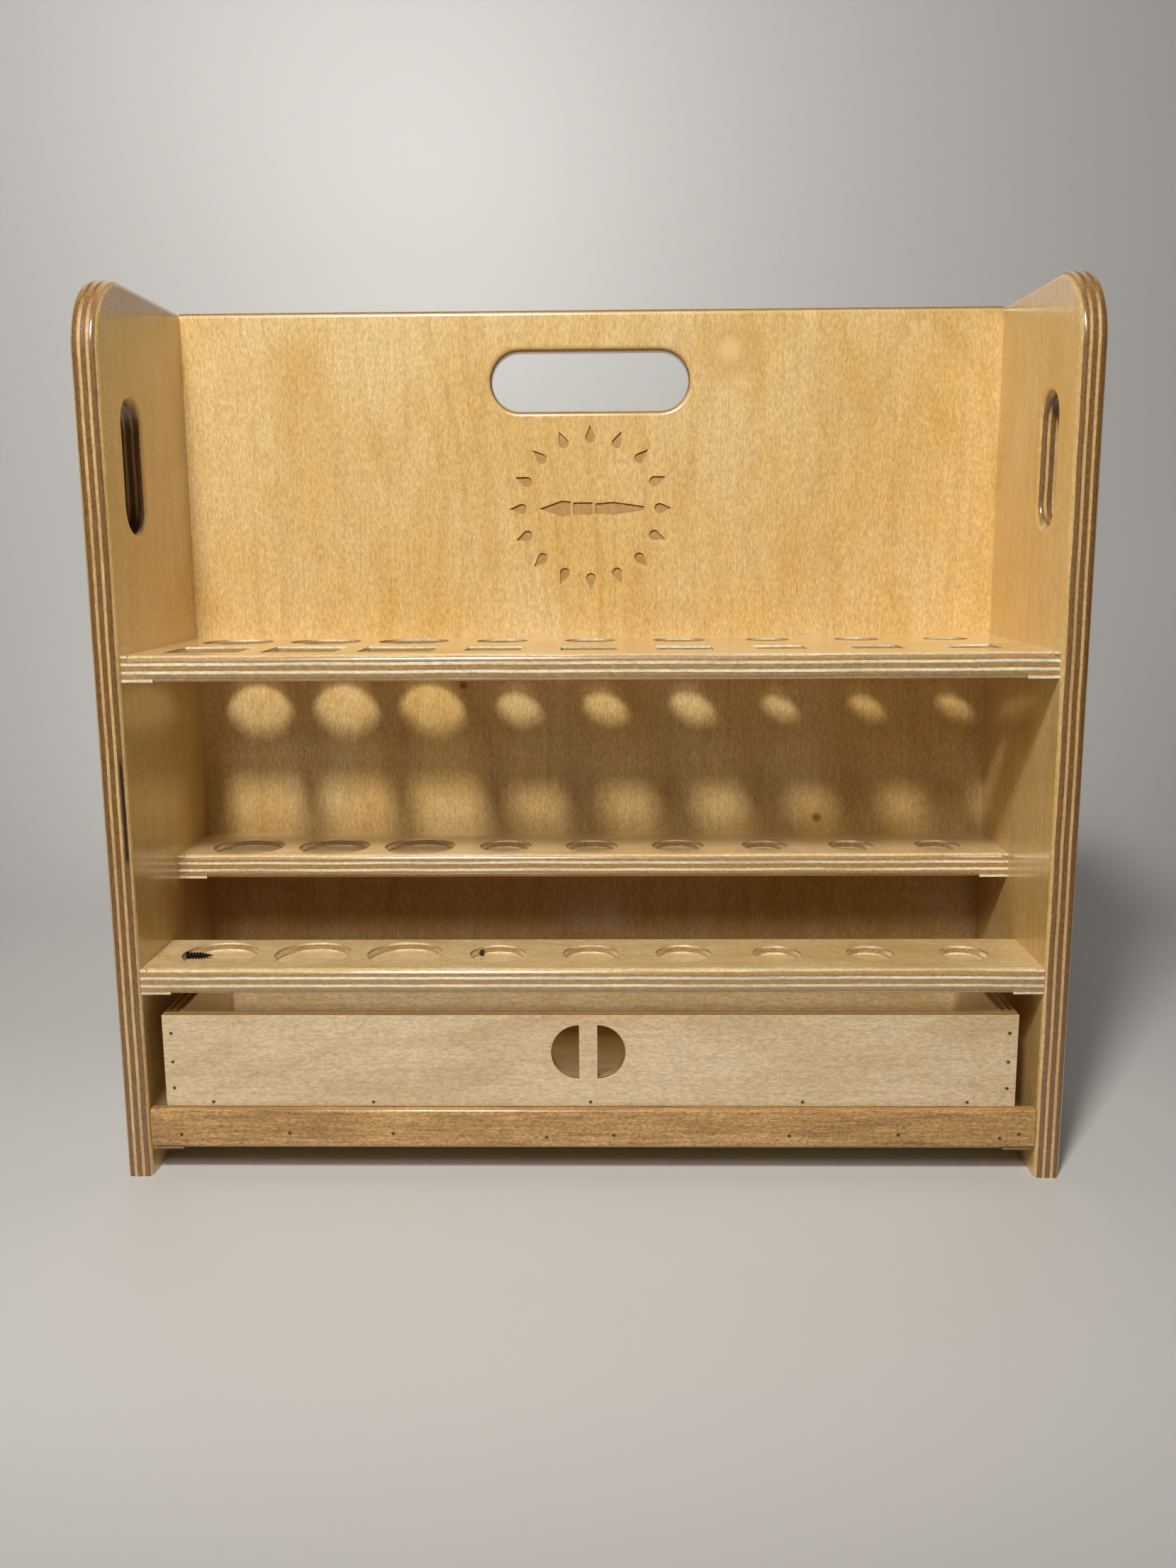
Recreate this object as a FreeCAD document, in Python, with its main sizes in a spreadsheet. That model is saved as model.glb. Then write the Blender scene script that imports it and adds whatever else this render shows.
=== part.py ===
# Paint rack organizer: a plywood carry rack with a holed top shelf, two pocketed shelves and a drawer.
# Millimetres. Origin at the middle of the footprint on the table, X to the right, front towards -Y.
import math
import os

import FreeCAD
import Part
import Sketcher

doc = FreeCAD.newDocument("PaintRack")

DIMS = [
    ("rack_width", 446), ("rack_depth", 131), ("rack_height", 416.5),
    ("panel_thk", 12), ("top_radius", 35), ("edge_round", 3),
    ("side_slot_width", 24), ("side_slot_height", 60), ("side_slot_setback", 38), ("side_slot_level", 334.8),
    ("back_slot_width", 102), ("back_slot_height", 29.5), ("back_slot_level", 381),
    ("mark_level", 316.6), ("mark_ring", 36), ("mark_depth", 1), ("drop_radius", 2.6), ("drop_length", 9),
    ("base_level", 11.5), ("lath_thk", 5), ("lath_height", 18), ("lath_level", 15.7), ("lath_round", 1.5),
    ("side_play", 0.5), ("front_inset", 1),
    ("top_shelf_level", 250), ("top_shelf_setback", 3.5),
    ("middle_shelf_level", 142.8), ("middle_shelf_setback", 66.5),
    ("lower_shelf_level", 103.2), ("lower_shelf_depth", 48.5),
    ("top_stop", 3), ("bottom_stop", 14),
    ("column_pitch", 45), ("hole_row", 87), ("slot_row", 38), ("lower_row", 26.5), ("pocket_depth", 4),
    ("pocket_ease", 0.5),
    ("large_hole", 35.6), ("medium_hole", 26.1), ("small_hole", 22.1),
    ("large_slot", 35), ("medium_slot", 26.5), ("small_slot", 23.5),
    ("drawer_width", 405), ("drawer_height", 45.6), ("drawer_depth", 96.5), ("drawer_setback", 5),
    ("drawer_shift", -1), ("front_thk", 6), ("wall_thk", 8), ("floor_thk", 4), ("slide_gap", 0.3),
    ("pull_radius", 13.4), ("pull_bar", 8.6), ("pull_level", 61.2),
    ("runner_width", 12), ("runner_offset", 185), ("runner_setback", 8), ("runner_length", 92),
    ("screw_length", 38), ("screw_radius", 1.75), ("head_radius", 4), ("head_height", 3.2), ("tip_length", 6),
    ("nail_length", 18), ("nail_radius", 0.6), ("fit", 0.05),
]
HOLE_SIZES = ["large"] * 3 + ["medium"] * 3 + ["small"] * 3
COLUMNS = range(-4, 5)
DROPS_IN_RING = 16

sheet = doc.addObject("Spreadsheet::Sheet", "Dims")
for row, (alias, value) in enumerate(DIMS, 1):
    sheet.set(f"A{row}", alias)
    sheet.set(f"B{row}", str(value))
    sheet.setAlias(f"B{row}", alias)
doc.recompute()

D = "<<Dims>>."
sheet.Label = "Dims"


def dim(formula):
    """A formula in sheet aliases, with each alias turned into a reference to its cell."""
    names = sorted((alias for alias, _ in DIMS), key=len, reverse=True)
    out = formula
    for index, alias in enumerate(names):
        out = out.replace(alias, f"@{index}@")
    for index, alias in enumerate(names):
        out = out.replace(f"@{index}@", D + alias)
    return out


def number(formula):
    """What a formula comes to now, as a plain number."""
    result = sheet.evalExpression(dim(formula))
    return float(getattr(result, "Value", result))


# Levels and planes that several pieces share.
FRONT = "-rack_depth / 2"
BACK_FACE = "(rack_depth / 2 - panel_thk)"
INNER_SIDE = "(rack_width / 2 - panel_thk)"
BASE_TOP = "(base_level + panel_thk)"
LATH_TOP = "(lath_level + lath_height)"
DRAWER_BASE = "(lath_level + lath_height + slide_gap)"
DRAWER_FRONT = "(drawer_setback - rack_depth / 2)"


# ---------------------------------------------------------------- sketching
def origin_plane(body, role):
    return next(f for f in body.Origin.OriginFeatures if f.Role == role)


def sketch_on(body, role, name, offset="0", centre=("0", "0")):
    """A sketch on an origin plane of its body, moved along the plane's normal and within it."""
    sketch = body.newObject("Sketcher::SketchObject", name)
    sketch.AttachmentSupport = [(origin_plane(body, role), "")]
    sketch.MapMode = "FlatFace"
    sketch.setExpression("AttachmentOffset.Base.x", dim(centre[0]))
    sketch.setExpression("AttachmentOffset.Base.y", dim(centre[1]))
    sketch.setExpression("AttachmentOffset.Base.z", dim(offset))
    return sketch


def pin(sketch, geo, point, across, up):
    """Holds one point of a sketch at two formulas measured from the sketch's origin."""
    for kind, formula, axis in (("DistanceX", across, -2), ("DistanceY", up, -1)):
        if formula is None:
            continue
        value = number(formula)
        if abs(value) < 1e-9:
            sketch.addConstraint(Sketcher.Constraint("PointOnObject", geo, point, axis))
            continue
        ends = (-1, 1, geo, point) if value > 0 else (geo, point, -1, 1)
        index = sketch.addConstraint(Sketcher.Constraint(kind, *ends, abs(value)))
        sketch.setExpression(f"Constraints[{index}]", dim(formula if value > 0 else f"-({formula})"))


def set_radius(sketch, geo, formula):
    index = sketch.addConstraint(Sketcher.Constraint("Radius", geo, number(formula)))
    sketch.setExpression(f"Constraints[{index}]", dim(formula))


def vec(across, up):
    return FreeCAD.Vector(number(across), number(up), 0)


def draw_rectangle(sketch, left, low, right, high):
    corners = [(left, low), (right, low), (right, high), (left, high)]
    points = [vec(*corner) for corner in corners]
    first = sketch.GeometryCount
    for index in range(4):
        sketch.addGeometry(Part.LineSegment(points[index], points[(index + 1) % 4]), False)
    for index in range(4):
        following = first + (index + 1) % 4
        sketch.addConstraint(Sketcher.Constraint("Coincident", first + index, 2, following, 1))
        turn = "Horizontal" if index % 2 == 0 else "Vertical"
        sketch.addConstraint(Sketcher.Constraint(turn, first + index))
    pin(sketch, first, 1, left, low)
    pin(sketch, first + 2, 1, right, high)


def draw_circle(sketch, across, up, radius):
    circle = Part.Circle(vec(across, up), FreeCAD.Vector(0, 0, 1), number(radius))
    geo = sketch.addGeometry(circle, False)
    pin(sketch, geo, 3, across, up)
    set_radius(sketch, geo, radius)


def arc(centre, radius, start, end):
    circle = Part.Circle(centre, FreeCAD.Vector(0, 0, 1), radius)
    return Part.ArcOfCircle(circle, start, end)


def draw_obround(sketch, across, up, length, width, upright):
    """A slot with round ends, centred at (across, up), its long side upright or level."""
    reach = f"({length} - {width}) / 2"
    low = (across, f"{up} - {reach}") if upright else (f"{across} - {reach}", up)
    high = (across, f"{up} + {reach}") if upright else (f"{across} + {reach}", up)
    radius = number(f"{width} / 2")
    start, end = vec(*low), vec(*high)
    along = (end - start).normalize()
    side = FreeCAD.Vector(-along.y, along.x, 0) * radius
    turn = math.atan2(side.y, side.x)
    first = sketch.addGeometry(arc(start, radius, turn, turn + math.pi), False)
    sketch.addGeometry(Part.LineSegment(start - side, end - side), False)
    sketch.addGeometry(arc(end, radius, turn + math.pi, turn + 2 * math.pi), False)
    sketch.addGeometry(Part.LineSegment(end + side, start + side), False)
    for index, point in ((0, 2), (1, 2), (2, 2), (3, 2)):
        following = first + (index + 1) % 4
        sketch.addConstraint(Sketcher.Constraint("Tangent", first + index, point, following, 1))
    pin(sketch, first, 3, *low)
    pin(sketch, first + 2, 3, *high)
    set_radius(sketch, first, f"{width} / 2")
    sketch.addConstraint(Sketcher.Constraint("Equal", first, first + 2))


def draw_half_disc(sketch, across, up, radius, side):
    """Half a disc whose straight side is upright through its centre; side is -1 or 1."""
    centre, size = vec(across, up), number(radius)
    start = -math.pi / 2 if side > 0 else math.pi / 2
    first = sketch.addGeometry(arc(centre, size, start, start + math.pi), False)
    reach = FreeCAD.Vector(0, size * side, 0)
    sketch.addGeometry(Part.LineSegment(centre + reach, centre - reach), False)
    sketch.addConstraint(Sketcher.Constraint("Coincident", first, 2, first + 1, 1))
    sketch.addConstraint(Sketcher.Constraint("Coincident", first + 1, 2, first, 1))
    sketch.addConstraint(Sketcher.Constraint("Vertical", first + 1))
    sketch.addConstraint(Sketcher.Constraint("PointOnObject", first, 3, first + 1))
    pin(sketch, first, 3, across, up)
    set_radius(sketch, first, radius)


# ---------------------------------------------------------------- features
def add_body(name):
    body = doc.addObject("PartDesign::Body", name)
    body.Label = name
    return body


def add_pad(body, sketch, name, length):
    doc.recompute()
    pad = body.newObject("PartDesign::Pad", name)
    pad.Profile = sketch
    pad.setExpression("Length", dim(length))
    sketch.Visibility = False
    doc.recompute()
    return pad


def add_pocket(body, sketch, name, length, both_ways=False, turned_round=False):
    """Cuts a sketch out of its body, and stops the script if nothing was cut."""
    doc.recompute()
    before = body.Shape.Volume
    pocket = body.newObject("PartDesign::Pocket", name)
    pocket.Profile = sketch
    pocket.setExpression("Length", dim(length))
    pocket.Midplane = both_ways
    pocket.Reversed = turned_round
    sketch.Visibility = False
    doc.recompute()
    if body.Shape.Volume > before - 1e-6:
        raise RuntimeError(f"{name} cuts nothing")
    return pocket


def edge_names(shape, wanted):
    return [f"Edge{index}" for index, edge in enumerate(shape.Edges, 1) if wanted(edge)]


def add_fillet(body, name, radius, wanted):
    feature = body.Tip
    fillet = body.newObject("PartDesign::Fillet", name)
    fillet.Base = (feature, edge_names(feature.Shape, wanted))
    fillet.setExpression("Radius", dim(radius))
    doc.recompute()
    return fillet


def round_long_edge(body, name, front, level, up, stop, radius="edge_round"):
    """Rounds a board's long front edge with a cutter that stops short of both ends."""
    sketch = sketch_on(body, "YZ_Plane", name + "_sketch")
    size = number(radius)
    corner = vec(front, level)
    inward, away = FreeCAD.Vector(size, 0, 0), FreeCAD.Vector(0, -size if up else size, 0)
    centre = corner + inward + away
    first = sketch.addGeometry(Part.LineSegment(corner, corner + inward), False)
    start = math.pi / 2 if up else math.pi
    sketch.addGeometry(arc(centre, size, start, start + math.pi / 2), False)
    sketch.addGeometry(Part.LineSegment(corner + away, corner), False)
    low_end, high_end = (1, 2) if up else (2, 1)
    sketch.addConstraint(Sketcher.Constraint("Horizontal", first))
    sketch.addConstraint(Sketcher.Constraint("Vertical", first + 2))
    sketch.addConstraint(Sketcher.Constraint("Coincident", first + 2, 2, first, 1))
    sketch.addConstraint(Sketcher.Constraint("Tangent", first, 2, first + 1, low_end))
    sketch.addConstraint(Sketcher.Constraint("Tangent", first + 1, high_end, first + 2, 1))
    pin(sketch, first, 1, front, level)
    set_radius(sketch, first + 1, radius)
    add_pocket(body, sketch, name, f"2 * ({INNER_SIDE} - {stop})", both_ways=True)


def finish(shape_object, label):
    """Gives a node's last object the name that the part is filed under."""
    shape_object.Label = label
    return shape_object


# ---------------------------------------------------------------- simple solids
TURNS = {
    "+X": FreeCAD.Rotation(FreeCAD.Vector(0, 1, 0), 90),
    "-X": FreeCAD.Rotation(FreeCAD.Vector(0, 1, 0), -90),
    "+Y": FreeCAD.Rotation(FreeCAD.Vector(1, 0, 0), -90),
    "-Y": FreeCAD.Rotation(FreeCAD.Vector(1, 0, 0), 90),
    "-Z": FreeCAD.Rotation(FreeCAD.Vector(1, 0, 0), 180),
}


def place(solid, spot, heading=None, ahead="0"):
    """Puts a primitive at three formulas, pointing its axis along heading and moved ahead on it."""
    if heading:
        solid.Placement = FreeCAD.Placement(FreeCAD.Vector(), TURNS[heading])
    for axis, formula in zip("xyz", spot):
        if heading and heading[1].lower() == axis:
            formula = f"{formula} {heading[0]} ({ahead})"
        solid.setExpression(f"Placement.Base.{axis}", dim(formula))
    return solid


def add_board(name, spot, size):
    board = doc.addObject("Part::Box", name)
    for prop, formula in zip(("Length", "Width", "Height"), size):
        board.setExpression(prop, dim(formula))
    return place(board, spot)


def add_rod(name, spot, heading, ahead, length, radius):
    rod = doc.addObject("Part::Cylinder", name)
    rod.setExpression("Radius", dim(radius))
    rod.setExpression("Height", dim(length))
    return place(rod, spot, heading, ahead)


def add_taper(name, spot, heading, ahead, length, radius, end_radius):
    cone = doc.addObject("Part::Cone", name)
    cone.setExpression("Radius1", dim(radius))
    cone.setExpression("Radius2", dim(end_radius))
    cone.setExpression("Height", dim(length))
    return place(cone, spot, heading, ahead)


def fuse(name, solids):
    joined = doc.addObject("Part::MultiFuse", name)
    joined.Shapes = solids
    return joined


def cut_from(base, tools, name):
    """A piece with every tool cut out of it."""
    cut = doc.addObject("Part::Cut", name)
    cut.Base = base
    cut.Tool = tools[0] if len(tools) == 1 else fuse(name + "_holes", tools)
    return cut


def group(name, solids):
    together = doc.addObject("Part::Compound", name)
    together.Links = solids
    return finish(together, name)


# ---------------------------------------------------------------- fasteners
def add_screw(name, spot, heading, grow="0"):
    """A countersunk screw with its head flush at spot; grow makes the hole that it sits in."""
    shank = f"screw_radius + {grow}"
    head = add_taper(name + "_head", spot, heading, "0", "head_height", f"head_radius + {grow}", shank)
    length = "screw_length - head_height - tip_length"
    rod = add_rod(name + "_shank", spot, heading, "head_height", length, shank)
    tip = add_taper(name + "_tip", spot, heading, "screw_length - tip_length", f"tip_length + {grow}", shank,
                    f"screw_radius / 4 + {grow}")
    return fuse(name, [head, rod, tip])


def add_nail(name, spot, heading, grow="0"):
    """A headless pin nail, flush at spot."""
    return add_rod(name, spot, heading, "0", f"nail_length + {grow}", f"nail_radius + {grow}")


class Fasteners:
    """One kind of fastener in one place: the pieces themselves and the holes that they need."""

    def __init__(self, name, make, spots):
        self.name = name
        self.pieces = []
        self.holes = []
        for index, (spot, heading) in enumerate(spots, 1):
            self.pieces.append(make(f"{name}_{index}", spot, heading))
            self.holes.append(make(f"{name}_hole_{index}", spot, heading, "fit"))
        self.node = group(name, self.pieces)

    def on(self, side):
        """The holes on the left (-1) or the right (1) of the rack's middle."""
        doc.recompute()
        return [hole for hole in self.holes if hole.Shape.BoundBox.Center.x * side > 0]


def from_both_sides(places):
    """Screw spots on the outer faces of both side panels, one pair for each (from front, level)."""
    spots = []
    for setback, level in places:
        depth = f"{setback} - rack_depth / 2"
        spots.append((("-rack_width / 2", depth, level), "+X"))
        spots.append((("rack_width / 2", depth, level), "-X"))
    return spots


TOP_SHELF_MIDDLE = "top_shelf_level - panel_thk / 2"
MIDDLE_SHELF_MIDDLE = "middle_shelf_level - panel_thk / 2"
LOWER_SHELF_MIDDLE = "lower_shelf_level - panel_thk / 2"
BASE_MIDDLE = "base_level + panel_thk / 2"
# One screw on the left went in high, so that its point shows inside the first pocket.
HIGH_SCREW_LEVEL = "lower_shelf_level - pocket_depth + screw_radius + fit"

top_screws = Fasteners("top_shelf_screws", add_screw, from_both_sides(
    [("12", TOP_SHELF_MIDDLE), ("62", TOP_SHELF_MIDDLE), ("112", TOP_SHELF_MIDDLE)]))
middle_screws = Fasteners("middle_shelf_screws", add_screw, from_both_sides(
    [("76", MIDDLE_SHELF_MIDDLE), ("110", MIDDLE_SHELF_MIDDLE)]))
lower_spots = from_both_sides([("15", LOWER_SHELF_MIDDLE), ("31", LOWER_SHELF_MIDDLE)])
lower_spots[2] = (lower_spots[2][0][:2] + (HIGH_SCREW_LEVEL,), "+X")
lower_screws = Fasteners("lower_shelf_screws", add_screw, lower_spots)
base_screws = Fasteners("bottom_panel_screws", add_screw, from_both_sides(
    [("22", BASE_MIDDLE), ("64", BASE_MIDDLE), ("106", BASE_MIDDLE)]))
back_screws = Fasteners("back_panel_screws", add_screw, from_both_sides(
    [("rack_depth - panel_thk / 2", level) for level in ("45", "125", "205", "300", "395")]))
SCREW_SETS = [top_screws, middle_screws, lower_screws, base_screws, back_screws]

LATH_NAIL_LEVEL = "base_level + panel_thk - 3"
lath_nails = Fasteners("lath_nails", add_nail, [
    ((f"{x}", f"{FRONT} + front_inset", f"{LATH_NAIL_LEVEL} {lift}"), "+Y")
    for x, lift in ((-196, "+ 0.6"), (-144, "+ 1.4"), (-94.5, "+ 1.2"), (-21, "- 0.7"), (11, "+ 0.4"),
                    (94.5, "+ 0.2"), (146, "+ 0.8"), (194, "- 1"), (203, "+ 1.2"))])

WALL_MIDDLE = "(drawer_width / 2 - wall_thk / 2)"
WALL_NAIL_LEVELS = ("70.5", "56.2", "43")
FLOOR_NAIL_LEVEL = f"{DRAWER_BASE} + floor_thk / 2"
FLOOR_NAIL_PLACES = ("-180", "-103", "1", "102", "180")


def end_nails(face, heading):
    """Nail spots through a drawer end: three into each wall and five into the floor."""
    walls = [((f"drawer_shift {side} {WALL_MIDDLE}", face, level), heading)
             for side in "-+" for level in WALL_NAIL_LEVELS]
    floor = [((f"drawer_shift + {x}", face, FLOOR_NAIL_LEVEL), heading) for x in FLOOR_NAIL_PLACES]
    return walls + floor


DRAWER_REAR = "(drawer_setback + drawer_depth - rack_depth / 2)"
drawer_front_nails = Fasteners("drawer_front_nails", add_nail, end_nails(DRAWER_FRONT, "+Y"))
drawer_back_nails = Fasteners("drawer_back_nails", add_nail, end_nails(DRAWER_REAR, "-Y"))
drawer_side_nails = Fasteners("drawer_side_nails", add_nail, [
    ((f"drawer_shift {side} drawer_width / 2", f"{FRONT} + {setback}", FLOOR_NAIL_LEVEL), heading)
    for side, heading in (("-", "+X"), ("+", "-X")) for setback in ("30", "53", "76")])


# ---------------------------------------------------------------- side panels
def side_panel(name, inner_face, side):
    """A full-height side with a rounded top front corner and a hand slot."""
    body = add_body(name + "_board")
    outline = sketch_on(body, "YZ_Plane", name + "_outline", offset=inner_face)
    rear, corner = "rack_depth / 2", f"{FRONT} + top_radius"
    shoulder = "rack_height - top_radius"
    points = [vec(FRONT, "0"), vec(rear, "0"), vec(rear, "rack_height"), vec(corner, "rack_height"),
              vec(FRONT, shoulder)]
    outline.addGeometry(Part.LineSegment(points[0], points[1]), False)
    outline.addGeometry(Part.LineSegment(points[1], points[2]), False)
    outline.addGeometry(Part.LineSegment(points[2], points[3]), False)
    outline.addGeometry(arc(vec(corner, shoulder), number("top_radius"), math.pi / 2, math.pi), False)
    outline.addGeometry(Part.LineSegment(points[4], points[0]), False)
    for first, second in ((0, 1), (1, 2), (4, 0)):
        outline.addConstraint(Sketcher.Constraint("Coincident", first, 2, second, 1))
    outline.addConstraint(Sketcher.Constraint("Tangent", 2, 2, 3, 1))
    outline.addConstraint(Sketcher.Constraint("Tangent", 3, 2, 4, 1))
    for line, turn in ((0, "Horizontal"), (1, "Vertical"), (2, "Horizontal"), (4, "Vertical")):
        outline.addConstraint(Sketcher.Constraint(turn, line))
    pin(outline, 0, 1, FRONT, "0")
    pin(outline, 1, 2, rear, "rack_height")
    set_radius(outline, 3, "top_radius")
    pad = add_pad(body, outline, name + "_pad", "panel_thk")
    if side < 0:
        pad.Reversed = True

    slot = sketch_on(body, "YZ_Plane", name + "_slot", offset=inner_face)
    draw_obround(slot, "(side_slot_setback - rack_depth / 2)", "side_slot_level", "side_slot_height",
                 "side_slot_width", upright=True)
    add_pocket(body, slot, name + "_hand_slot", "2 * panel_thk", both_ways=True)

    front, rear_y, high = number(FRONT), number(rear), number("rack_height")

    def rounded(edge):
        box = edge.BoundBox
        crosses = box.XLength > 1
        at_back = box.YMin > rear_y - 0.1
        at_foot = box.ZMax < 0.1
        return not (crosses or at_back or at_foot) and box.YMin > front - 0.1 and box.ZMax < high + 0.1

    add_fillet(body, name + "_roundover", "edge_round", rounded)
    holes = [hole for screws in SCREW_SETS for hole in screws.on(side)]
    return finish(cut_from(body, holes, name), name)


left_side = side_panel("left_side_panel", f"-{INNER_SIDE}", -1)
right_side = side_panel("right_side_panel", INNER_SIDE, 1)


# ---------------------------------------------------------------- back panel
def draw_drop(sketch):
    """One paint drop in a ring round the sketch's origin, its point outwards."""
    radius, reach = number("drop_radius"), number("drop_length")
    base = number("mark_ring")
    lean = math.asin(radius / (reach - radius))
    centre = FreeCAD.Vector(0, base, 0)
    tip = FreeCAD.Vector(0, base + reach - radius, 0)
    touch = FreeCAD.Vector(radius * math.cos(lean), base + radius * math.sin(lean), 0)
    mirror = FreeCAD.Vector(-touch.x, touch.y, 0)
    round_part = sketch.addGeometry(arc(centre, radius, math.pi - lean, 2 * math.pi + lean), False)
    right = sketch.addGeometry(Part.LineSegment(touch, tip), False)
    left = sketch.addGeometry(Part.LineSegment(tip, mirror), False)
    sketch.addConstraint(Sketcher.Constraint("Tangent", round_part, 2, right, 1))
    sketch.addConstraint(Sketcher.Constraint("Coincident", right, 2, left, 1))
    sketch.addConstraint(Sketcher.Constraint("Tangent", left, 2, round_part, 1))
    pin(sketch, round_part, 3, "0", "mark_ring")
    pin(sketch, right, 2, "0", "mark_ring + drop_length - drop_radius")
    set_radius(sketch, round_part, "drop_radius")


def draw_brush(sketch):
    """A paint brush lying level across the middle of the ring: pointed bristles, ferrule, handle."""
    draw_rectangle(sketch, "-9", "-3.2", "1", "3.2")
    bristles = [(-10.5, 3.6), (-15, 4.2), (-27, 0), (-15, -4.2), (-10.5, -3.6)]
    handle = [(2.5, 2.6), (12, 3.4), (28, 1), (28, -1), (12, -3.4), (2.5, -2.6)]
    for outline in (bristles, handle):
        first = sketch.GeometryCount
        count = len(outline)
        for index, spot in enumerate(outline):
            following = outline[(index + 1) % count]
            ends = [FreeCAD.Vector(across, up, 0) for across, up in (spot, following)]
            sketch.addGeometry(Part.LineSegment(*ends), False)
        for index, (across, up) in enumerate(outline):
            following = first + (index + 1) % count
            sketch.addConstraint(Sketcher.Constraint("Coincident", first + index, 2, following, 1))
            pin(sketch, first + index, 1, f"{across}", f"{up}")


def back_panel():
    """The back: a hand slot near the top and an engraved ring of drops round a brush."""
    name = "back_panel"
    body = add_body(name + "_board")
    outline = sketch_on(body, "XZ_Plane", name + "_outline", offset="-rack_depth / 2")
    draw_rectangle(outline, f"-{INNER_SIDE}", "base_level", INNER_SIDE, "rack_height")
    add_pad(body, outline, name + "_pad", "panel_thk")
    slot = sketch_on(body, "XZ_Plane", name + "_slot", offset="panel_thk / 2 - rack_depth / 2")
    draw_obround(slot, "0", "back_slot_level", "back_slot_width", "back_slot_height", upright=False)
    add_pocket(body, slot, name + "_hand_slot", "2 * panel_thk", both_ways=True)
    high = number("rack_height")
    slot_low = number("back_slot_level - back_slot_height")
    slot_high = number("back_slot_level + back_slot_height")

    def rounded(edge):
        box = edge.BoundBox
        if box.YLength > 1:
            return False
        slot_rim = slot_low < box.ZMin and box.ZMax < slot_high
        top_edge = box.ZMin > high - 0.1 and box.XLength > 100
        return slot_rim or top_edge

    add_fillet(body, name + "_roundover", "edge_round", rounded)
    face = f"-{BACK_FACE}"
    ring = sketch_on(body, "XZ_Plane", name + "_drop", offset=face, centre=("0", "mark_level"))
    draw_drop(ring)
    drop = add_pocket(body, ring, name + "_drop_cut", "mark_depth")
    pattern = body.newObject("PartDesign::PolarPattern", name + "_ring")
    pattern.Originals = [drop]
    pattern.Axis = (ring, ["N_Axis"])
    pattern.Angle = 360
    pattern.Occurrences = DROPS_IN_RING
    body.Tip = pattern
    doc.recompute()
    brush = sketch_on(body, "XZ_Plane", name + "_brush", offset=face, centre=("0", "mark_level"))
    draw_brush(brush)
    add_pocket(body, brush, name + "_brush_cut", "mark_depth")
    return finish(cut_from(body, back_screws.holes, name), name)


back = back_panel()


# ---------------------------------------------------------------- shelves
def shelf(name, front, rear, level):
    """A level board between the sides, its front edge rounded above and below."""
    body = add_body(name + "_board")
    outline = sketch_on(body, "XY_Plane", name + "_outline", offset=f"{level} - panel_thk")
    draw_rectangle(outline, f"-{INNER_SIDE}", front, INNER_SIDE, rear)
    add_pad(body, outline, name + "_pad", "panel_thk")
    round_long_edge(body, name + "_top_round", front, level, True, "top_stop")
    round_long_edge(body, name + "_bottom_round", front, f"({level} - panel_thk)", False, "bottom_stop")
    return body


def round_row(body, name, row, level, depth, ease="0"):
    """Nine round holes or pockets in a row, three of each size, each wider than its size by an ease all round."""
    sketch = sketch_on(body, "XY_Plane", name + "_circles", offset=level)
    for column, size in zip(COLUMNS, HOLE_SIZES):
        draw_circle(sketch, f"{column} * column_pitch", f"({row} - rack_depth / 2)", f"{size}_hole / 2 + {ease}")
    add_pocket(body, sketch, name, depth)


def square_row(body, name, row, level):
    """Nine square through holes in a row, three of each size."""
    sketch = sketch_on(body, "XY_Plane", name + "_squares", offset=level)
    for column, size in zip(COLUMNS, HOLE_SIZES):
        across, up, half = f"{column} * column_pitch", f"({row} - rack_depth / 2)", f"{size}_slot / 2"
        draw_rectangle(sketch, f"{across} - {half}", f"{up} - {half}", f"{across} + {half}", f"{up} + {half}")
    add_pocket(body, sketch, name, "2 * panel_thk")


top_board = shelf("top_shelf", f"({FRONT} + top_shelf_setback)", BACK_FACE, "top_shelf_level")
round_row(top_board, "top_shelf_holes", "hole_row", "top_shelf_level", "2 * panel_thk")
square_row(top_board, "top_shelf_slots", "slot_row", "top_shelf_level")
top_shelf = finish(cut_from(top_board, top_screws.holes, "top_shelf"), "top_shelf")

middle_board = shelf("middle_shelf", f"({FRONT} + middle_shelf_setback)", BACK_FACE, "middle_shelf_level")
round_row(middle_board, "middle_shelf_pockets", "hole_row", "middle_shelf_level", "pocket_depth", "pocket_ease")
middle_shelf = finish(cut_from(middle_board, middle_screws.holes, "middle_shelf"), "middle_shelf")

lower_board = shelf("lower_shelf", f"({FRONT} + front_inset)", f"({FRONT} + front_inset + lower_shelf_depth)",
                    "lower_shelf_level")
round_row(lower_board, "lower_shelf_pockets", "lower_row", "lower_shelf_level", "pocket_depth", "pocket_ease")
lower_shelf = finish(cut_from(lower_board, lower_screws.holes, "lower_shelf"), "lower_shelf")


# ---------------------------------------------------------------- base
LATH_REAR = f"({FRONT} + front_inset + lath_thk)"

base_body = add_body("bottom_panel_board")
base_outline = sketch_on(base_body, "XY_Plane", "bottom_panel_outline", offset="base_level")
draw_rectangle(base_outline, f"-{INNER_SIDE}", LATH_REAR, INNER_SIDE, BACK_FACE)
add_pad(base_body, base_outline, "bottom_panel_pad", "panel_thk")
round_long_edge(base_body, "bottom_panel_round", LATH_REAR, "base_level", False, "bottom_stop")
bottom_panel = finish(cut_from(base_body, base_screws.holes + lath_nails.holes, "bottom_panel"), "bottom_panel")

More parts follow.
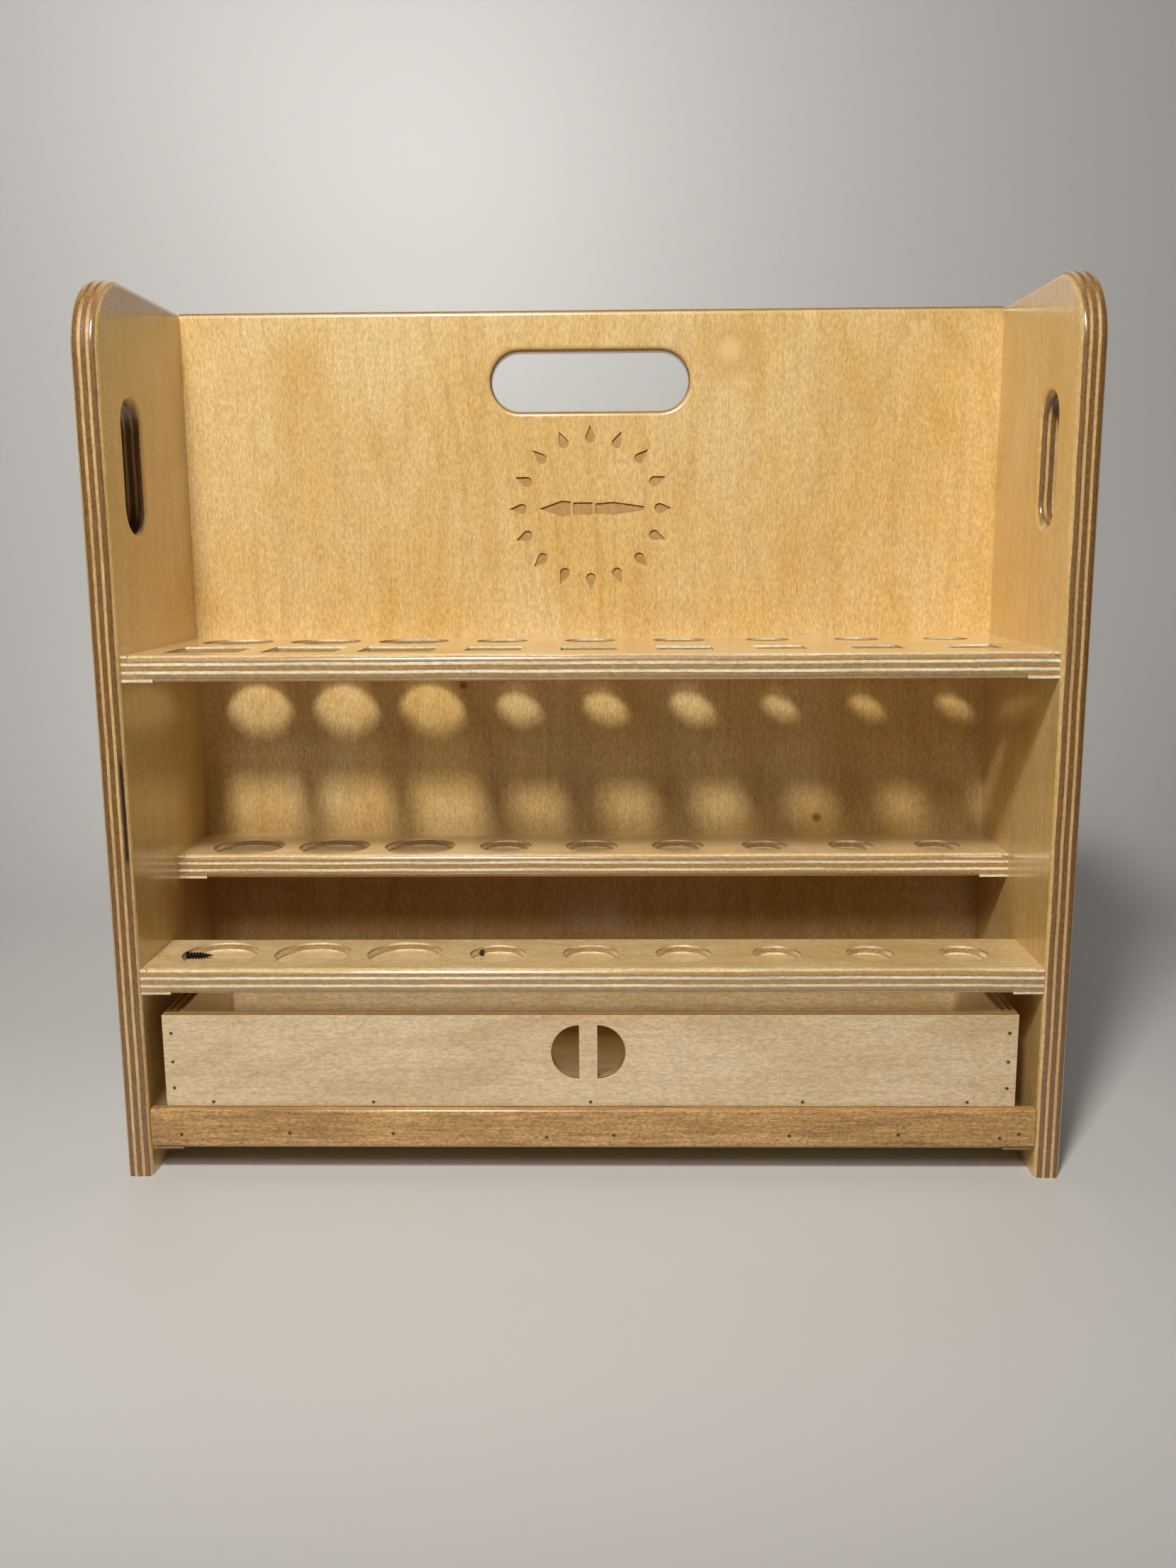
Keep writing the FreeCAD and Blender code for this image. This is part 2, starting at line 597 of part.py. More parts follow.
lath_body = add_body("front_lath_board")
lath_outline = sketch_on(lath_body, "YZ_Plane", "front_lath_outline", offset=f"side_play - {INNER_SIDE}")
draw_rectangle(lath_outline, f"({FRONT} + front_inset)", "lath_level", LATH_REAR, LATH_TOP)
add_pad(lath_body, lath_outline, "front_lath_pad", f"2 * ({INNER_SIDE} - side_play)")
lath_front, lath_top = number(f"{FRONT} + front_inset"), number(LATH_TOP)
add_fillet(lath_body, "front_lath_roundover", "lath_round",
           lambda edge: edge.BoundBox.YMax < lath_front + 0.1 and edge.BoundBox.ZMin > lath_top - 0.1)
front_lath = finish(cut_from(lath_body, lath_nails.holes, "front_lath"), "front_lath")

RUNNER_HEIGHT = f"{LATH_TOP} - {BASE_TOP}"
RUNNER_SIZE = ("runner_width", "runner_length", RUNNER_HEIGHT)
for name, middle in (("left_runner", "-runner_offset"), ("right_runner", "runner_offset")):
    runner_spot = (f"{middle} - runner_width / 2", f"{FRONT} + runner_setback", BASE_TOP)
    finish(add_board(name, runner_spot, RUNNER_SIZE), name)
runners = [doc.getObject("left_runner"), doc.getObject("right_runner")]


# ---------------------------------------------------------------- drawer
DRAWER_LEFT = "drawer_shift - drawer_width / 2"
DRAWER_RIGHT = "drawer_shift + drawer_width / 2"

front_body = add_body("drawer_front_board")
FRONT_PLANE = f"-({DRAWER_FRONT} + front_thk)"
front_outline = sketch_on(front_body, "XZ_Plane", "drawer_front_outline", offset=FRONT_PLANE)
draw_rectangle(front_outline, DRAWER_LEFT, DRAWER_BASE, DRAWER_RIGHT, f"{DRAWER_BASE} + drawer_height")
add_pad(front_body, front_outline, "drawer_front_pad", "front_thk")
pulls = sketch_on(front_body, "XZ_Plane", "drawer_pulls", offset=f"-({DRAWER_FRONT} + front_thk / 2)")
draw_half_disc(pulls, "drawer_shift - pull_bar / 2", "pull_level", "pull_radius", -1)
draw_half_disc(pulls, "drawer_shift + pull_bar / 2", "pull_level", "pull_radius", 1)
add_pocket(front_body, pulls, "drawer_pull_holes", "2 * front_thk", both_ways=True)
drawer_front = finish(cut_from(front_body, drawer_front_nails.holes, "drawer_front"), "drawer_front")

WALL_FRONT = f"({DRAWER_FRONT} + front_thk)"
WALL_LENGTH = "(drawer_depth - front_thk - wall_thk)"
DRAWER_NAIL_SETS = (drawer_front_nails, drawer_back_nails, drawer_side_nails)
for name, edge, side in (("drawer_left_side", DRAWER_LEFT, -1),
                         ("drawer_right_side", f"{DRAWER_RIGHT} - wall_thk", 1)):
    wall_size = ("wall_thk", WALL_LENGTH, "drawer_height")
    wall = add_board(name + "_board", (edge, WALL_FRONT, DRAWER_BASE), wall_size)
    holes = [hole for nails in DRAWER_NAIL_SETS for hole in nails.on(side)]
    finish(cut_from(wall, holes, name), name)

rear_corner = (DRAWER_LEFT, f"{DRAWER_REAR} - wall_thk", DRAWER_BASE)
rear_wall = add_board("drawer_back_board", rear_corner, ("drawer_width", "wall_thk", "drawer_height"))
drawer_back = finish(cut_from(rear_wall, drawer_back_nails.holes, "drawer_back"), "drawer_back")

floor_corner = (f"{DRAWER_LEFT} + wall_thk", WALL_FRONT, DRAWER_BASE)
floor_sheet = add_board("drawer_floor_board", floor_corner,
                        ("drawer_width - 2 * wall_thk", WALL_LENGTH, "floor_thk"))
floor_holes = [hole for nails in DRAWER_NAIL_SETS for hole in nails.holes]
drawer_floor = finish(cut_from(floor_sheet, floor_holes, "drawer_floor"), "drawer_floor")

# ---------------------------------------------------------------- files
doc.recompute()
NODES = [left_side, right_side, back, top_shelf, middle_shelf, lower_shelf, bottom_panel, front_lath]
NODES += runners + [drawer_front, doc.getObject("drawer_left_side"), doc.getObject("drawer_right_side")]
NODES += [drawer_back, drawer_floor]
NODES += [fasteners.node for fasteners in SCREW_SETS]
NODES += [nails.node for nails in (lath_nails, *DRAWER_NAIL_SETS)]

for item in doc.Objects:
    if any(word in item.State for word in ("Invalid", "Error")):
        raise RuntimeError(f"{item.Label} did not rebuild: {item.State}")

os.makedirs("parts", exist_ok=True)
for node in NODES:
    if node.Shape.isNull() or not node.Shape.isValid():
        raise RuntimeError(f"{node.Label} has no valid shape")
    node.Shape.exportStep(f"parts/{node.Label}.step")
    box = node.Shape.BoundBox
    print(f"{node.Label:22s} solids {len(node.Shape.Solids):2d} volume {node.Shape.Volume / 1000:9.2f} cm3 "
          f"x {box.XMin:7.1f} {box.XMax:7.1f} y {box.YMin:6.1f} {box.YMax:6.1f} "
          f"z {box.ZMin:6.1f} {box.ZMax:6.1f}")
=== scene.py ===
import math

import bmesh
import bpy
import numpy as np
from mathutils import Matrix, Vector


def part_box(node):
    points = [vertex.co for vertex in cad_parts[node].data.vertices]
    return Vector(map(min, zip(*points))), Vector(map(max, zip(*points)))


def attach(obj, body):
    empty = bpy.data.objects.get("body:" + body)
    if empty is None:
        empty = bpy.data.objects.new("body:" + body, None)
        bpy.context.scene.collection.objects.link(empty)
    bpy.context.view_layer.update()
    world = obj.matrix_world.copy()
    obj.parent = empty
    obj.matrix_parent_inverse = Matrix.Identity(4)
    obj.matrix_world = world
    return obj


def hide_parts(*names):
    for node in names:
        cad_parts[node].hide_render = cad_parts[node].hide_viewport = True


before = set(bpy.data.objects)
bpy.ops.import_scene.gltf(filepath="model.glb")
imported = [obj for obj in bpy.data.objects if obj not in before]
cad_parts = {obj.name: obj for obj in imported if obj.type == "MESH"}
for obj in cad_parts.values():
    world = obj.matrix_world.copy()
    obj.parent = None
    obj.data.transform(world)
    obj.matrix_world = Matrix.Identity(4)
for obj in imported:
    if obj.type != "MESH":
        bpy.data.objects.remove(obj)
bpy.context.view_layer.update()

# Looks for the plywood paint rack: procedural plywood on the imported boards, detailed screws, studio, camera.
# Sizes in this file are in millimetres unless a name says otherwise; Blender itself works in metres.
MM = 0.001


def box_mm(node):
    low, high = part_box(node)
    return low / MM, high / MM


# ---------------------------------------------------------------- shader graphs
class Graph:
    """One material's node tree. Each method adds a node and returns the socket that it gives."""

    def __init__(self, name):
        self.material = bpy.data.materials.new(name)
        self.material.use_nodes = True
        self.tree = self.material.node_tree
        self.tree.nodes.clear()
        output = self.tree.nodes.new("ShaderNodeOutputMaterial")
        self.surface = self.tree.nodes.new("ShaderNodeBsdfPrincipled")
        self.tree.links.new(self.surface.outputs["BSDF"], output.inputs["Surface"])
        coordinates = self.tree.nodes.new("ShaderNodeTexCoord")
        self.place = self.vector("SCALE", coordinates.outputs["Object"], scale=1 / MM)
        self.facing = coordinates.outputs["Normal"]

    def feed(self, socket, value):
        if isinstance(value, bpy.types.NodeSocket):
            self.tree.links.new(value, socket)
        else:
            socket.default_value = value

    def set(self, **inputs):
        """Sets the surface shader's sockets, named with underscores for spaces."""
        for name, value in inputs.items():
            self.feed(self.surface.inputs[name.replace("_", " ")], value)

    def math(self, operation, first, second=0.0, third=0.0, clamp=False):
        node = self.tree.nodes.new("ShaderNodeMath")
        node.operation = operation
        node.use_clamp = clamp
        for socket, value in zip(node.inputs, (first, second, third)):
            self.feed(socket, value)
        return node.outputs[0]

    def vector(self, operation, first, second=(0, 0, 0), scale=1.0):
        node = self.tree.nodes.new("ShaderNodeVectorMath")
        node.operation = operation
        self.feed(node.inputs[0], first)
        if operation == "SCALE":
            self.feed(node.inputs[3], scale)
        else:
            self.feed(node.inputs[1], second)
        return node.outputs["Value" if operation in ("DOT_PRODUCT", "LENGTH", "DISTANCE") else "Vector"]

    def stretched(self, along, factor, place=None):
        """The place in mm, squeezed along one axis so that a pattern read there is drawn out along it."""
        scale = [1.0, 1.0, 1.0]
        scale[along] = factor
        return self.vector("MULTIPLY", self.place if place is None else place, tuple(scale))

    def axis(self, index, place=None):
        node = self.tree.nodes.new("ShaderNodeSeparateXYZ")
        self.feed(node.inputs[0], self.place if place is None else place)
        return node.outputs[index]

    def moved(self, place, offset):
        return self.vector("ADD", place, offset)

    def noise(self, place, scale, detail=2.0, roughness=0.5, distortion=0.0):
        """Noise of about 1 / scale mm across, from 0 to 1."""
        node = self.tree.nodes.new("ShaderNodeTexNoise")
        self.feed(node.inputs["Vector"], place)
        settings = {"Scale": scale, "Detail": detail, "Roughness": roughness, "Distortion": distortion}
        for name, value in settings.items():
            self.feed(node.inputs[name], value)
        return node.outputs["Fac"]

    def cells(self, place, scale):
        """Distance to the nearest of many scattered points, in cell widths."""
        node = self.tree.nodes.new("ShaderNodeTexVoronoi")
        self.feed(node.inputs["Vector"], place)
        self.feed(node.inputs["Scale"], scale)
        return node.outputs["Distance"]

    def step(self, value, low, high, to_low=0.0, to_high=1.0):
        """A smooth step from to_low at low to to_high at high."""
        node = self.tree.nodes.new("ShaderNodeMapRange")
        node.interpolation_type = "SMOOTHSTEP"
        for name, number in (("Value", value), ("From Min", low), ("From Max", high), ("To Min", to_low),
                             ("To Max", to_high)):
            self.feed(node.inputs[name], number)
        return node.outputs["Result"]

    def ramp(self, value, stops):
        """A ramp through (position, grey or colour) stops."""
        node = self.tree.nodes.new("ShaderNodeValToRGB")
        elements = node.color_ramp.elements
        while len(elements) > 1:
            elements.remove(elements[-1])
        for index, (position, shade) in enumerate(stops):
            element = elements[0] if index == 0 else elements.new(position)
            element.position = position
            element.color = (*shade, 1) if isinstance(shade, tuple) else (shade, shade, shade, 1)
        self.feed(node.inputs["Fac"], value)
        return node.outputs["Color"]

    def blend(self, factor, first, second, mode="MIX"):
        """Mixes two colours."""
        node = self.tree.nodes.new("ShaderNodeMix")
        node.data_type = "RGBA"
        node.blend_type = mode
        self.feed(node.inputs["Factor"], factor)
        for socket, value in ((node.inputs[6], first), (node.inputs[7], second)):
            self.feed(socket, (*value, 1) if isinstance(value, tuple) else value)
        return node.outputs[2]

    def between(self, factor, first, second):
        """Mixes two vectors."""
        node = self.tree.nodes.new("ShaderNodeMix")
        node.data_type = "VECTOR"
        self.feed(node.inputs["Factor"], factor)
        self.feed(node.inputs[4], first)
        self.feed(node.inputs[5], second)
        return node.outputs[1]

    def bump(self, height, depth, normal=None):
        """A bump whose height of 1 stands that many mm high."""
        node = self.tree.nodes.new("ShaderNodeBump")
        self.feed(node.inputs["Height"], height)
        self.feed(node.inputs["Distance"], depth * MM)
        if normal is not None:
            self.feed(node.inputs["Normal"], normal)
        return node.outputs["Normal"]

    def total(self, *terms):
        """A sum of (socket, weight) terms."""
        result = 0.0
        for value, weight in terms:
            result = self.math("MULTIPLY_ADD", value, weight, result)
        return result


# ---------------------------------------------------------------- wood
X, Y, Z = 0, 1, 2
UNIT = {X: (1, 0, 0), Y: (0, 1, 0), Z: (0, 0, 1)}
GOLD = ((0.78, 0.565, 0.260), (0.73, 0.485, 0.170), (0.58, 0.330, 0.075))
CREAM = ((0.82, 0.64, 0.360), (0.76, 0.54, 0.250), (0.60, 0.37, 0.120))
STRAW = ((0.76, 0.59, 0.370), (0.66, 0.485, 0.265), (0.50, 0.32, 0.138))
# The near-black void colour is painted shade, standing for the inside of hollows in the wood.
VOID_PAINTED_SHADE = (0.020, 0.008, 0.003)
EDGE_WOOD, END_GRAIN = (0.34, 0.165, 0.045), (0.19, 0.078, 0.018)
BOARD_TRIM = ((0.66, 0.44, 0.190), (0.27, 0.125, 0.032), (0.15, 0.062, 0.014))
# The shelves' edge plies are coloured far paler than the same plywood's other edges. This paleness is a
# painted highlight for the coat's whitish reflection along the shelf fronts.
SHELF_TRIM_PAINTED_HIGHLIGHT = ((0.96, 0.84, 0.600), (0.50, 0.310, 0.115), (0.34, 0.185, 0.055))
GLUE = (0.05, 0.018, 0.005)
BOARD_PLIES = (1.3, 2.2, 1.5, 2.2, 1.5, 2.2, 1.1)
WALL_PLIES = (1.2, 1.9, 1.8, 1.9, 1.2)
FRONT_PLIES = (0.8, 1.5, 1.4, 1.5, 0.8)
FLOOR_PLIES = (1.1, 1.8, 1.1)


def ply_ramps(graph, depth, plies):
    """Two masks from the depth into a board: 1 in its cross plies, and 1 on its glue lines."""
    thickness = sum(plies)
    share = graph.math("DIVIDE", depth, thickness)
    blur, line = 0.10 / thickness, 0.13 / thickness
    cross, glue = [(0.0, 0.0)], [(0.0, 0.0)]
    edge = 0.0
    for index, ply in enumerate(plies[:-1]):
        edge += ply / thickness
        now, after = float(index % 2), float((index + 1) % 2)
        cross += [(edge - blur, now), (edge + blur, after)]
        glue += [(edge - line, 0.0), (edge, 1.0), (edge + line, 0.0)]
    return graph.ramp(share, cross), graph.ramp(share, glue)


def nearest(graph, spots, place=None):
    """Distance in mm to the nearest of some spots."""
    result = None
    for spot in spots:
        gap = graph.vector("DISTANCE", graph.place if place is None else place, spot)
        result = gap if result is None else graph.math("MINIMUM", result, gap)
    return result


def bent_round(graph, place, knots):
    """Pushes the figure's lines apart round each knot, as grain flows round a branch."""
    for spot, size, _ in knots:
        away = graph.vector("SUBTRACT", place, spot)
        gap = graph.vector("LENGTH", away)
        push = graph.math("MULTIPLY", graph.math("EXPONENT", graph.math("MULTIPLY", gap, -1 / size)), -0.75)
        place = graph.vector("ADD", place, graph.vector("SCALE", away, scale=push))
    return place


def plywood(name, node, thick, plies, along, seed, shades=GOLD, knots=(), figure=1.0, nails=(),
            extra=None, trim=BOARD_TRIM):
    """Lacquered birch plywood: plies through the board's thickness, fibres along the grain of each ply,
    darker end grain where a ply's fibres meet the surface, and a clear coat over all of it."""
    graph = Graph(name)
    pale, honey, amber = shades
    # trim colours the edge plies. In the shelves' trim these colours are paled as a painted highlight.
    sawn_wood, end_wood, end_pores = trim
    low, high = box_mm(node)
    across = 3 - thick - along
    offset = (seed * 91.7, seed * 53.3, seed * 27.1)
    wander = graph.noise(graph.moved(graph.place, offset), 0.018, 2)
    ripple = graph.noise(graph.moved(graph.place, offset), 0.35, 2)
    depth = graph.math("SUBTRACT", graph.axis(thick), low[thick])
    depth = graph.total((depth, 1.0), (graph.math("SUBTRACT", wander, 0.5), 1.1),
                        (graph.math("SUBTRACT", ripple, 0.5), 0.22))
    cross, glue = ply_ramps(graph, depth, plies)

    # Fibres run along the board in the face plies and across it in the plies between.
    shifted = graph.moved(graph.place, offset)
    straight = graph.stretched(along, 0.035, shifted)
    crosswise = graph.moved(graph.stretched(across, 0.035, shifted), (311.0, 127.0, 73.0))
    fibres = graph.between(cross, straight, crosswise)
    strands = graph.noise(fibres, 0.55, 3, 0.62)
    fine = graph.noise(fibres, 2.3, 2, 0.6)
    pore_place = graph.between(cross, graph.stretched(along, 0.14, shifted),
                               graph.stretched(across, 0.14, shifted))
    pores = graph.step(graph.noise(pore_place, 1.9, 2, 0.55), 0.60, 0.74)
    grain_way = graph.between(cross, UNIT[along], UNIT[across])
    endness = graph.math("ABSOLUTE", graph.vector("DOT_PRODUCT", graph.facing, grain_way))
    endness = graph.step(endness, 0.25, 0.9)

    # The face veneer's figure: broad growth lines drawn out along the grain and bent round the knots.
    flow = bent_round(graph, graph.place, knots)
    broad = graph.noise(graph.moved(graph.stretched(along, 0.22, flow), offset), 0.0125, 1.6, 0.45, 0.35)
    lines = graph.math("SINE", graph.math("MULTIPLY", broad, 68.0 * figure))
    lines = graph.step(lines, 0.15, 1.0)
    patches = graph.noise(graph.moved(graph.stretched(along, 0.45, flow), offset), 0.022, 3, 0.6)
    fleck_place = graph.stretched(along, 0.38, shifted)
    flecks = graph.noise(fleck_place, 0.95, 2, 0.7)

    base = graph.blend(graph.step(patches, 0.32, 0.68), pale, honey)
    line_strength = graph.math("MULTIPLY", lines, graph.step(patches, 0.25, 0.75, 0.10, 0.34))
    base = graph.blend(line_strength, base, amber)
    base = graph.blend(graph.step(strands, 0.42, 0.72, 0.0, 0.28), base, amber)
    base = graph.blend(graph.step(fine, 0.35, 0.8, 0.0, 0.24), base, amber)
    base = graph.blend(graph.math("MULTIPLY", pores, 0.20), base, END_GRAIN)
    ends = graph.blend(graph.step(graph.noise(shifted, 1.5, 3, 0.7), 0.36, 0.66), end_wood, end_pores)
    sawn = graph.blend(graph.step(strands, 0.38, 0.75, 0.0, 0.5), sawn_wood, EDGE_WOOD)
    on_edge = graph.step(graph.math("ABSOLUTE", graph.axis(thick, graph.facing)), 0.45, 0.95, 1.0, 0.0)
    base = graph.blend(on_edge, base, sawn)
    base = graph.blend(endness, base, ends)
    # The flecks vary the wood's tone. The palest are painted brighter than the wood, as painted glints of the
    # coat.
    fleck_tone_and_painted_glint = graph.ramp(flecks, [(0.30, 0.78), (0.5, 0.98), (0.68, 1.16)])
    base = graph.blend(1.0, base, fleck_tone_and_painted_glint, "MULTIPLY")
    base = graph.blend(graph.math("MULTIPLY", glue, 0.8), base, GLUE)
    for spot, size, shade in knots:
        gap = nearest(graph, [spot])
        base = graph.blend(graph.step(gap, size * 0.30, size * 1.10, 0.45, 0.0), base, amber)
        base = graph.blend(graph.step(gap, size * 0.10, size * 0.42, 0.85, 0.0), base, shade)
    if nails:
        stain = nearest(graph, nails)
        base = graph.blend(graph.step(stain, 0.55, 1.15, 0.85, 0.0), base, GLUE)
    height = graph.total((strands, 0.30), (fine, 0.28), (pores, -0.5), (flecks, 0.5), (glue, -0.35),
                         (cross, -0.2))
    if extra:
        base, height = extra(graph, base, height)
    normal = graph.bump(height, 0.045)
    sheen = graph.total((flecks, 0.35), (endness, 0.14), (0.24, 1.0))
    nibs = graph.step(graph.cells(graph.moved(graph.place, offset), 0.16), 0.035, 0.075, 1.0, 0.0)
    peel = graph.noise(shifted, 0.30, 2)
    coat = graph.bump(graph.total((peel, 0.45), (strands, 0.28), (nibs, 1.3), (flecks, 0.35)), 0.030)
    graph.set(Base_Color=base, Roughness=sheen, Normal=normal, Coat_Normal=coat,
              Coat_Weight=1.0, Coat_Roughness=0.17, Coat_IOR=1.58, IOR=1.45)
    return graph.material


def hardwood(name, along, seed, nails=()):
    """Brown solid wood: open pores, flecks painted paler as glints that catch the light, and a clear coat."""
    graph = Graph(name)
    offset = (seed * 91.7, seed * 53.3, seed * 27.1)
    shifted = graph.moved(graph.place, offset)
    strands = graph.noise(graph.stretched(along, 0.05, shifted), 0.7, 4, 0.65)
    slant = graph.noise(graph.stretched(along, 0.12, shifted), 0.16, 2, 0.5, 0.6)
    flecks = graph.noise(graph.stretched(along, 0.45, shifted), 1.15, 2, 0.7)
    pores = graph.step(graph.noise(graph.stretched(along, 0.25, shifted), 1.7, 2, 0.6), 0.56, 0.70)
    base = graph.ramp(graph.total((strands, 0.6), (slant, 0.4)), [
        (0.32, (0.66, 0.40, 0.150)), (0.5, (0.48, 0.262, 0.085)), (0.68, (0.27, 0.125, 0.034))])
    # The flecks vary the tone, and the palest are painted brighter than the wood as painted glints.
    base = graph.blend(1.0, base, graph.ramp(flecks, [(0.3, 0.62), (0.5, 0.98), (0.7, 1.35)]), "MULTIPLY")
    base = graph.blend(graph.math("MULTIPLY", pores, 0.6), base, (0.10, 0.042, 0.016))
    if nails:
        base = graph.blend(graph.step(nearest(graph, nails), 0.55, 1.2, 0.9, 0.0), base, GLUE)
    height = graph.total((strands, 0.35), (flecks, 0.7), (pores, -0.7))
    nibs = graph.step(graph.cells(shifted, 0.2), 0.035, 0.075, 1.0, 0.0)
    graph.set(Base_Color=base, Roughness=graph.total((flecks, 0.3), (0.27, 1.0)),
              Normal=graph.bump(height, 0.07),
              Coat_Normal=graph.bump(graph.total((flecks, 0.8), (strands, 0.4), (nibs, 1.0)), 0.035),
              Coat_Weight=0.6, Coat_Roughness=0.15, Coat_IOR=1.5, IOR=1.48)
    return graph.material


def dark_metal(name, base, metallic, roughness, grain):
    """Plain dark metal with a little wear in its finish."""
    graph = Graph(name)
    wear = graph.noise(graph.place, grain, 3, 0.6)
    light = tuple(min(1.0, c * 2.2 + 0.01) for c in base)
    graph.set(Base_Color=graph.blend(graph.step(wear, 0.45, 0.75), base, light), Metallic=metallic,
              Roughness=graph.total((wear, 0.25), (roughness, 1.0)), Normal=graph.bump(wear, 0.01))
    return graph.material


# ---------------------------------------------------------------- marks that one board has
PITCH = 45.0
RING_SPACING = 1.7


def turned_floors(row, floor_depth, void=None):
    """Rings that a cutter leaves on the floors of a row of pockets, and a void that a cut laid open, painted
    near black as the shade inside it.
    """
    def add(graph, base, height):
        folded = graph.math("WRAP", graph.axis(X), PITCH / 2, -PITCH / 2)
        beside = graph.math("SUBTRACT", graph.axis(Y), row)
        out = graph.math("SQRT", graph.total((graph.math("MULTIPLY", folded, folded), 1.0),
                                             (graph.math("MULTIPLY", beside, beside), 1.0)))
        top = graph.axis(Z)
        sunk = graph.step(top, floor_depth - 0.3, floor_depth + 0.3, 1.0, 0.0)
        level = graph.math("ABSOLUTE", graph.axis(Z, graph.facing))
        on_floor = graph.math("MULTIPLY", sunk, graph.step(level, 0.8, 0.95))
        below = graph.step(top, floor_depth - 0.6, floor_depth - 0.4)
        on_floor = graph.math("MULTIPLY", on_floor, below)
        ring = graph.math("SINE", graph.math("MULTIPLY", out, 2 * math.pi / RING_SPACING))
        ring = graph.math("MULTIPLY", graph.step(ring, 0.2, 1.0), on_floor)
        base = graph.blend(graph.math("MULTIPLY", ring, 0.5), base, END_GRAIN)
        height = graph.total((height, 1.0), (ring, 1.6))
        # The void is painted near black as shade, with a sunken bump.
        if void:
            hollow = graph.step(nearest(graph, [void]), 1.3, 1.9, 1.0, 0.0)
            base = graph.blend(hollow, base, VOID_PAINTED_SHADE)
            height = graph.total((height, 1.0), (hollow, -9.0))
        return base, height
    return add


CORE_GAP_LOW, CORE_GAP_HIGH, CORE_GAP_X = (152, 158), (198, 207), -213.3


def lean_void(graph, base, height):
    """A gap in one core ply of the left side's front edge, painted near black as the shade inside it, with a
    sunken bump.
    """
    high = graph.axis(Z)
    span = graph.math("MULTIPLY", graph.step(high, *CORE_GAP_LOW), graph.step(high, *CORE_GAP_HIGH, 1.0, 0.0))
    middle = graph.total((graph.noise(graph.stretched(Z, 0.2), 0.25, 2), 0.9), (CORE_GAP_X, 1.0))
    off = graph.math("ABSOLUTE", graph.math("SUBTRACT", graph.axis(X), middle))
    gap = graph.math("MULTIPLY", span, graph.step(off, 0.35, 0.8, 1.0, 0.0))
    near_front = graph.step(graph.axis(Y), -62.0, -60.5, 1.0, 0.0)
    gap = graph.math("MULTIPLY", gap, near_front)
    base = graph.blend(gap, base, VOID_PAINTED_SHADE)
    return base, graph.total((height, 1.0), (gap, -9.0))


def darkened_cuts(graph, base, height):
    """Darker wood where the ring of drops and the brush are cut into the back's face."""
    sunk = graph.step(graph.axis(Y), BACK_FACE + 0.25, BACK_FACE + 0.7)
    shallow = graph.step(graph.axis(Y), BACK_FACE + 2.0, BACK_FACE + 2.5, 1.0, 0.0)
    gap = nearest(graph, [(0.0, BACK_FACE, ENGRAVING_LEVEL)])
    cut = graph.math("MULTIPLY", graph.math("MULTIPLY", sunk, shallow),
                     graph.step(gap, ENGRAVING_REACH - 1, ENGRAVING_REACH, 1.0, 0.0))
    return graph.blend(graph.math("MULTIPLY", cut, 0.55), base, EDGE_WOOD), height


# ---------------------------------------------------------------- boards
def heads(node, face, axis_index, reach=2.0):
    """The middles of the outer ends of a set of nails or screws on a face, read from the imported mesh."""
    spots = []
    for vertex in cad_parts[node].data.vertices:
        point = vertex.co / MM
        if abs(point[axis_index] - face) > 0.05:
            continue
        for spot in spots:
            if (spot["sum"] / spot["count"] - point).length < reach:
                spot["sum"] += point
                spot["count"] += 1
                break
        else:
            spots.append({"sum": point.copy(), "count": 1})
    return [tuple(spot["sum"] / spot["count"]) for spot in spots]


BACK_FACE = box_mm("back_panel")[0][1]
ENGRAVING_LEVEL, ENGRAVING_REACH = 316.6, 48.0
BURL = (0.80, 0.56, 0.225)
BACK_KNOTS = [((122.0, BACK_FACE, 151.0), 9.0, END_GRAIN), ((-69.0, BACK_FACE, 224.0), 7.0, END_GRAIN),
              ((72.0, BACK_FACE, 396.0), 20.0, BURL), ((-170.0, BACK_FACE, 342.0), 5.0, BURL),
              ((-143.0, BACK_FACE, 295.0), 5.0, BURL)]
DRAWER_FACE = box_mm("drawer_front")[0][1]
LATH_FACE = box_mm("front_lath")[0][1]

